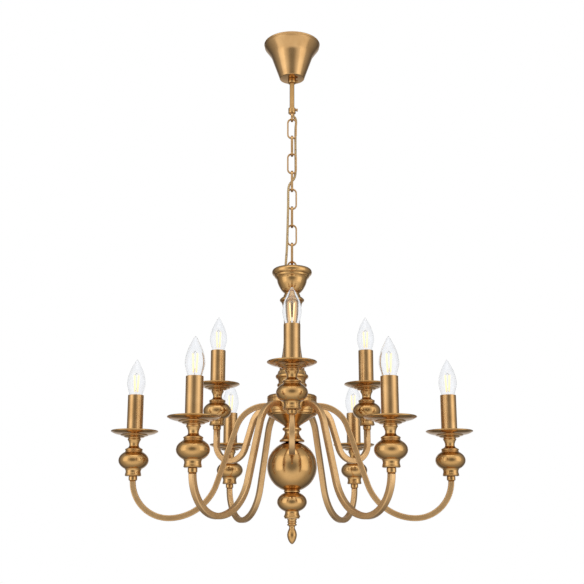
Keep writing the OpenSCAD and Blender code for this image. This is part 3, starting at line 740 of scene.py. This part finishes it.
def add_bulb(i, at):
    """A clear candle lamp. Its glass is one wall, open at the neck."""
    body = f"bulb_{i}"
    wall = 0.6
    glass = [(0, 140), (1, 139.6)] + glass_line(0)[::-1] + glass_line(wall) + [(0.8, 138.8), (0, 139)]
    turned(f"bulb_glass_{i}", glass, bulb_glass, body, [body], at=at, edge=0, steps=56)
    stem = [(0, 56.6)] + curve_through([(5.6, 57), (4.2, 60), (2.6, 66), (1.7, 74), (1.5, 82)], 4)
    stem += arc(0, 82, 1.5, 0, 90, 4)
    turned(f"bulb_stem_{i}", stem, bulb_glass, body, at=at, edge=0, steps=24)
    pitch = 2.8
    cap = [(0, 30), (3, 30), (3.4, 31), (6.2, 33.4)]
    for turn in range(6):
        cap += [(6.8, 35 + turn * pitch), (6.3, 36.4 + turn * pitch)]
    cap += [(6.8, 53), (8.2, 55.4), (8.2, 56), (0, 56)]
    turned(f"bulb_cap_{i}", cap, zinc_steel, body, at=at, edge=0, steps=32)
    add_filaments(i, at)
    add_wires(i, at)


def add_light(i):
    light = lights[i - 1]
    tier, rim = ("lower", lower_rim) if i <= LOWER_LIGHTS else ("upper", upper_rim)
    at = (light.x, light.y, rim)
    parts = [("arm_end", end_outline, shaded_turned_brass, "aged_brass", f"{tier}_arm_ends"),
             ("stem", stem_outline, shaded_turned_brass, "aged_brass", f"{tier}_stems"),
             ("drip_pan", pan_outline, shaded_turned_brass, "aged_brass", f"{tier}_drip_pans"),
             ("candle_sleeve", sleeve_outline, brushed_brass, "brushed_brass", f"{tier}_candle_sleeves"),
             ("lamp_holder", holder_outline, holder_plastic, "lamp_holder", "lamp_holders")]
    for name, outline, material, slot, node in parts:
        turned(f"{name}_{i}", outline, material, "fixture", [node], at=at, ring=True, edge=0.0003)
    add_bulb(i, at)


add_canopy()
for part in ("canopy", "rod"):
    height = joints[f"{part}_screw_turn"]["pos_m"][2]
    add_side_screw(f"{part}_screw_knob", height, f"{part}_screw", f"{part}_thumb_screw")
add_rod()
for number in range(1, 9):
    add_link(number)
add_cable()
add_cup()
add_column()
add_pendant()
add_finial()
for number in range(1, LIGHTS + 1):
    add_arm(number)
    add_light(number)


# ---- CAD nodes that show as they are ----
def paint_node(node, material):
    shown = frame["nodes"][node]
    shown.data.materials.clear()
    shown.data.materials.append(material)


for node in ("ceiling_bracket", "rod_lock_nut", "tie_rod", "arm_nuts"):
    paint_node(node, zinc_steel)
paint_node("cable_splice", holder_plastic)


# ---- Floor, light and backdrop ----
def add_floor():
    """The room's floor, a storey below the ceiling. The polished metal doesn't mirror it."""
    depth = -2.45
    bm = bmesh.new()
    bmesh.ops.create_grid(bm, x_segments=1, y_segments=1, size=28)
    bmesh.ops.translate(bm, verts=bm.verts[:], vec=(0, 0, depth))
    mesh = bpy.data.meshes.new("floor")
    bm.to_mesh(mesh)
    bm.free()
    mesh.materials.append(plastic("floor_paint", (0.93, 0.93, 0.93), (0.95, 0.95, 0.95), 0.9))
    floor = bpy.data.objects.new("floor", mesh)
    bpy.context.scene.collection.objects.link(floor)
    floor.visible_glossy = False


def add_softbox(name, place, size, power, aim=(0, 0, -0.7)):
    data = bpy.data.lights.new(name, "AREA")
    data.shape = "RECTANGLE"
    data.size, data.size_y = size
    data.energy = power
    lamp = bpy.data.objects.new(name, data)
    lamp.location = place
    lamp.rotation_euler = (Vector(aim) - Vector(place)).to_track_quat("-Z", "Y").to_euler()
    lamp.visible_camera = False
    lamp.visible_transmission = False
    bpy.context.scene.collection.objects.link(lamp)


def add_world():
    """White to the eye and through glass. The metal sees a studio, bright on both sides.

    It is darker straight ahead and behind, which gives round brass its dark middle and edges."""
    world = bpy.data.worlds.new("studio")
    bpy.context.scene.world = world
    world.use_nodes = True
    nodes, links = world.node_tree.nodes, world.node_tree.links
    nodes.clear()
    direction = nodes.new("ShaderNodeTexCoord")
    split = nodes.new("ShaderNodeSeparateXYZ")
    links.new(direction.outputs["Generated"], split.inputs["Vector"])
    spread = nodes.new("ShaderNodeMapRange")
    spread.inputs["From Min"].default_value = -1
    links.new(split.outputs["Y"], spread.inputs["Value"])
    shade = ramp(nodes, links, spread.outputs["Result"],
                 [(0.0, grey(0.26)), (0.02, grey(0.30)), (0.06, grey(0.70)), (0.12, grey(1.0)),
                  (0.25, grey(1.0)), (0.45, grey(0.56)), (0.7, grey(0.30)), (0.88, grey(0.10)),
                  (0.96, grey(0.48)), (1.0, grey(0.62))])
    studio = nodes.new("ShaderNodeBackground")
    studio.inputs["Strength"].default_value = 1.2
    links.new(shade, studio.inputs["Color"])
    white = nodes.new("ShaderNodeBackground")
    white.inputs["Color"].default_value = (1, 1, 1, 1)
    white.inputs["Strength"].default_value = 1.0
    seen = nodes.new("ShaderNodeLightPath")
    either = nodes.new("ShaderNodeMath")
    either.operation = "MAXIMUM"
    links.new(seen.outputs["Is Camera Ray"], either.inputs[0])
    links.new(seen.outputs["Is Transmission Ray"], either.inputs[1])
    mix = nodes.new("ShaderNodeMixShader")
    links.new(either.outputs["Value"], mix.inputs["Fac"])
    links.new(studio.outputs["Background"], mix.inputs[1])
    links.new(white.outputs["Background"], mix.inputs[2])
    output = nodes.new("ShaderNodeOutputWorld")
    links.new(mix.outputs["Shader"], output.inputs["Surface"])


add_floor()
add_softbox("left_softbox", (-1.9, -1.0, -0.4), (1.4, 2.4), 6)
add_softbox("right_softbox", (1.9, -1.0, -0.4), (1.4, 2.4), 6)
add_softbox("top_softbox", (0, -1.0, 1.8), (2.0, 1.2), 8)
add_world()
bpy.context.scene.view_settings.view_transform = "Standard"
